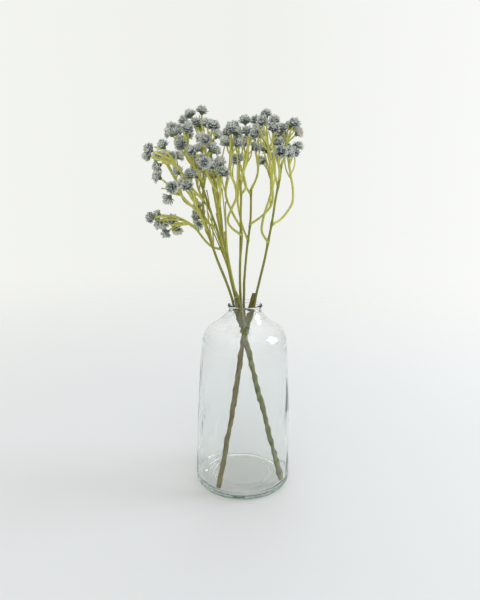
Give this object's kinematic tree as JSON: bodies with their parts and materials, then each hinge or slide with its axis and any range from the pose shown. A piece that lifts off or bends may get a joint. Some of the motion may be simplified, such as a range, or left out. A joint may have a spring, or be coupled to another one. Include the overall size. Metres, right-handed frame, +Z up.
{
  "type": "glass bud vase",
  "caption": "Clear glass bottle-shaped bud vase with a short neck, holding two lift-out sprays of faux gypsophila in dusty blue.",
  "frame": {"origin": "centre of the resting ring, on the surface that the vase stands on", "axes": "+Z up through the mouth, -Y towards the viewer, +X to the viewer's right"},
  "size_m": [0.1367, 0.1023, 0.3536],
  "materials": {
    "clear_glass": "clear, faintly green, slightly rippled",
    "steel_wire": "cut end, dull",
    "stem_cover": "moulded bark, matt",
    "stem_tape": "waxy floral tape",
    "stalk_plastic": "satin",
    "twig_plastic": "satin, slightly translucent",
    "cup_plastic": "matt",
    "petal_fabric": "matt, powdery"
  },
  "bodies": {
    "vase": {"vase": "clear_glass"},
    "left_spray": {"left_wire": "steel_wire", "left_stem": "stem_cover", "left_binding": "stem_tape", "left_outer_stalk": "stalk_plastic", "left_back_stalk": "stalk_plastic", "left_front_stalk": "stalk_plastic", "left_outer_twigs": "twig_plastic", "left_back_twigs": "twig_plastic", "left_front_twigs": "twig_plastic", "left_outer_cups": "cup_plastic", "left_back_cups": "cup_plastic", "left_front_cups": "cup_plastic", "left_outer_blooms": "petal_fabric", "left_back_blooms": "petal_fabric", "left_front_blooms": "petal_fabric"},
    "right_spray": {"right_wire": "steel_wire", "right_stem": "stem_cover", "right_binding": "stem_tape", "right_outer_stalk": "stalk_plastic", "right_back_stalk": "stalk_plastic", "right_front_stalk": "stalk_plastic", "right_outer_twigs": "twig_plastic", "right_back_twigs": "twig_plastic", "right_front_twigs": "twig_plastic", "right_outer_cups": "cup_plastic", "right_back_cups": "cup_plastic", "right_front_cups": "cup_plastic", "right_outer_blooms": "petal_fabric", "right_back_blooms": "petal_fabric", "right_front_blooms": "petal_fabric"}
  },
  "joints": [
    {"name": "left_lift", "type": "slide", "parent": "vase", "child": "left_spray", "axis": [-0.2431, 0.0569, 0.9683], "range_m": [0, 0.19]},
    {"name": "right_lift", "type": "slide", "parent": "vase", "child": "right_spray", "axis": [0.1656, 0.2124, 0.963], "range_m": [0, 0.19]}
  ]
}
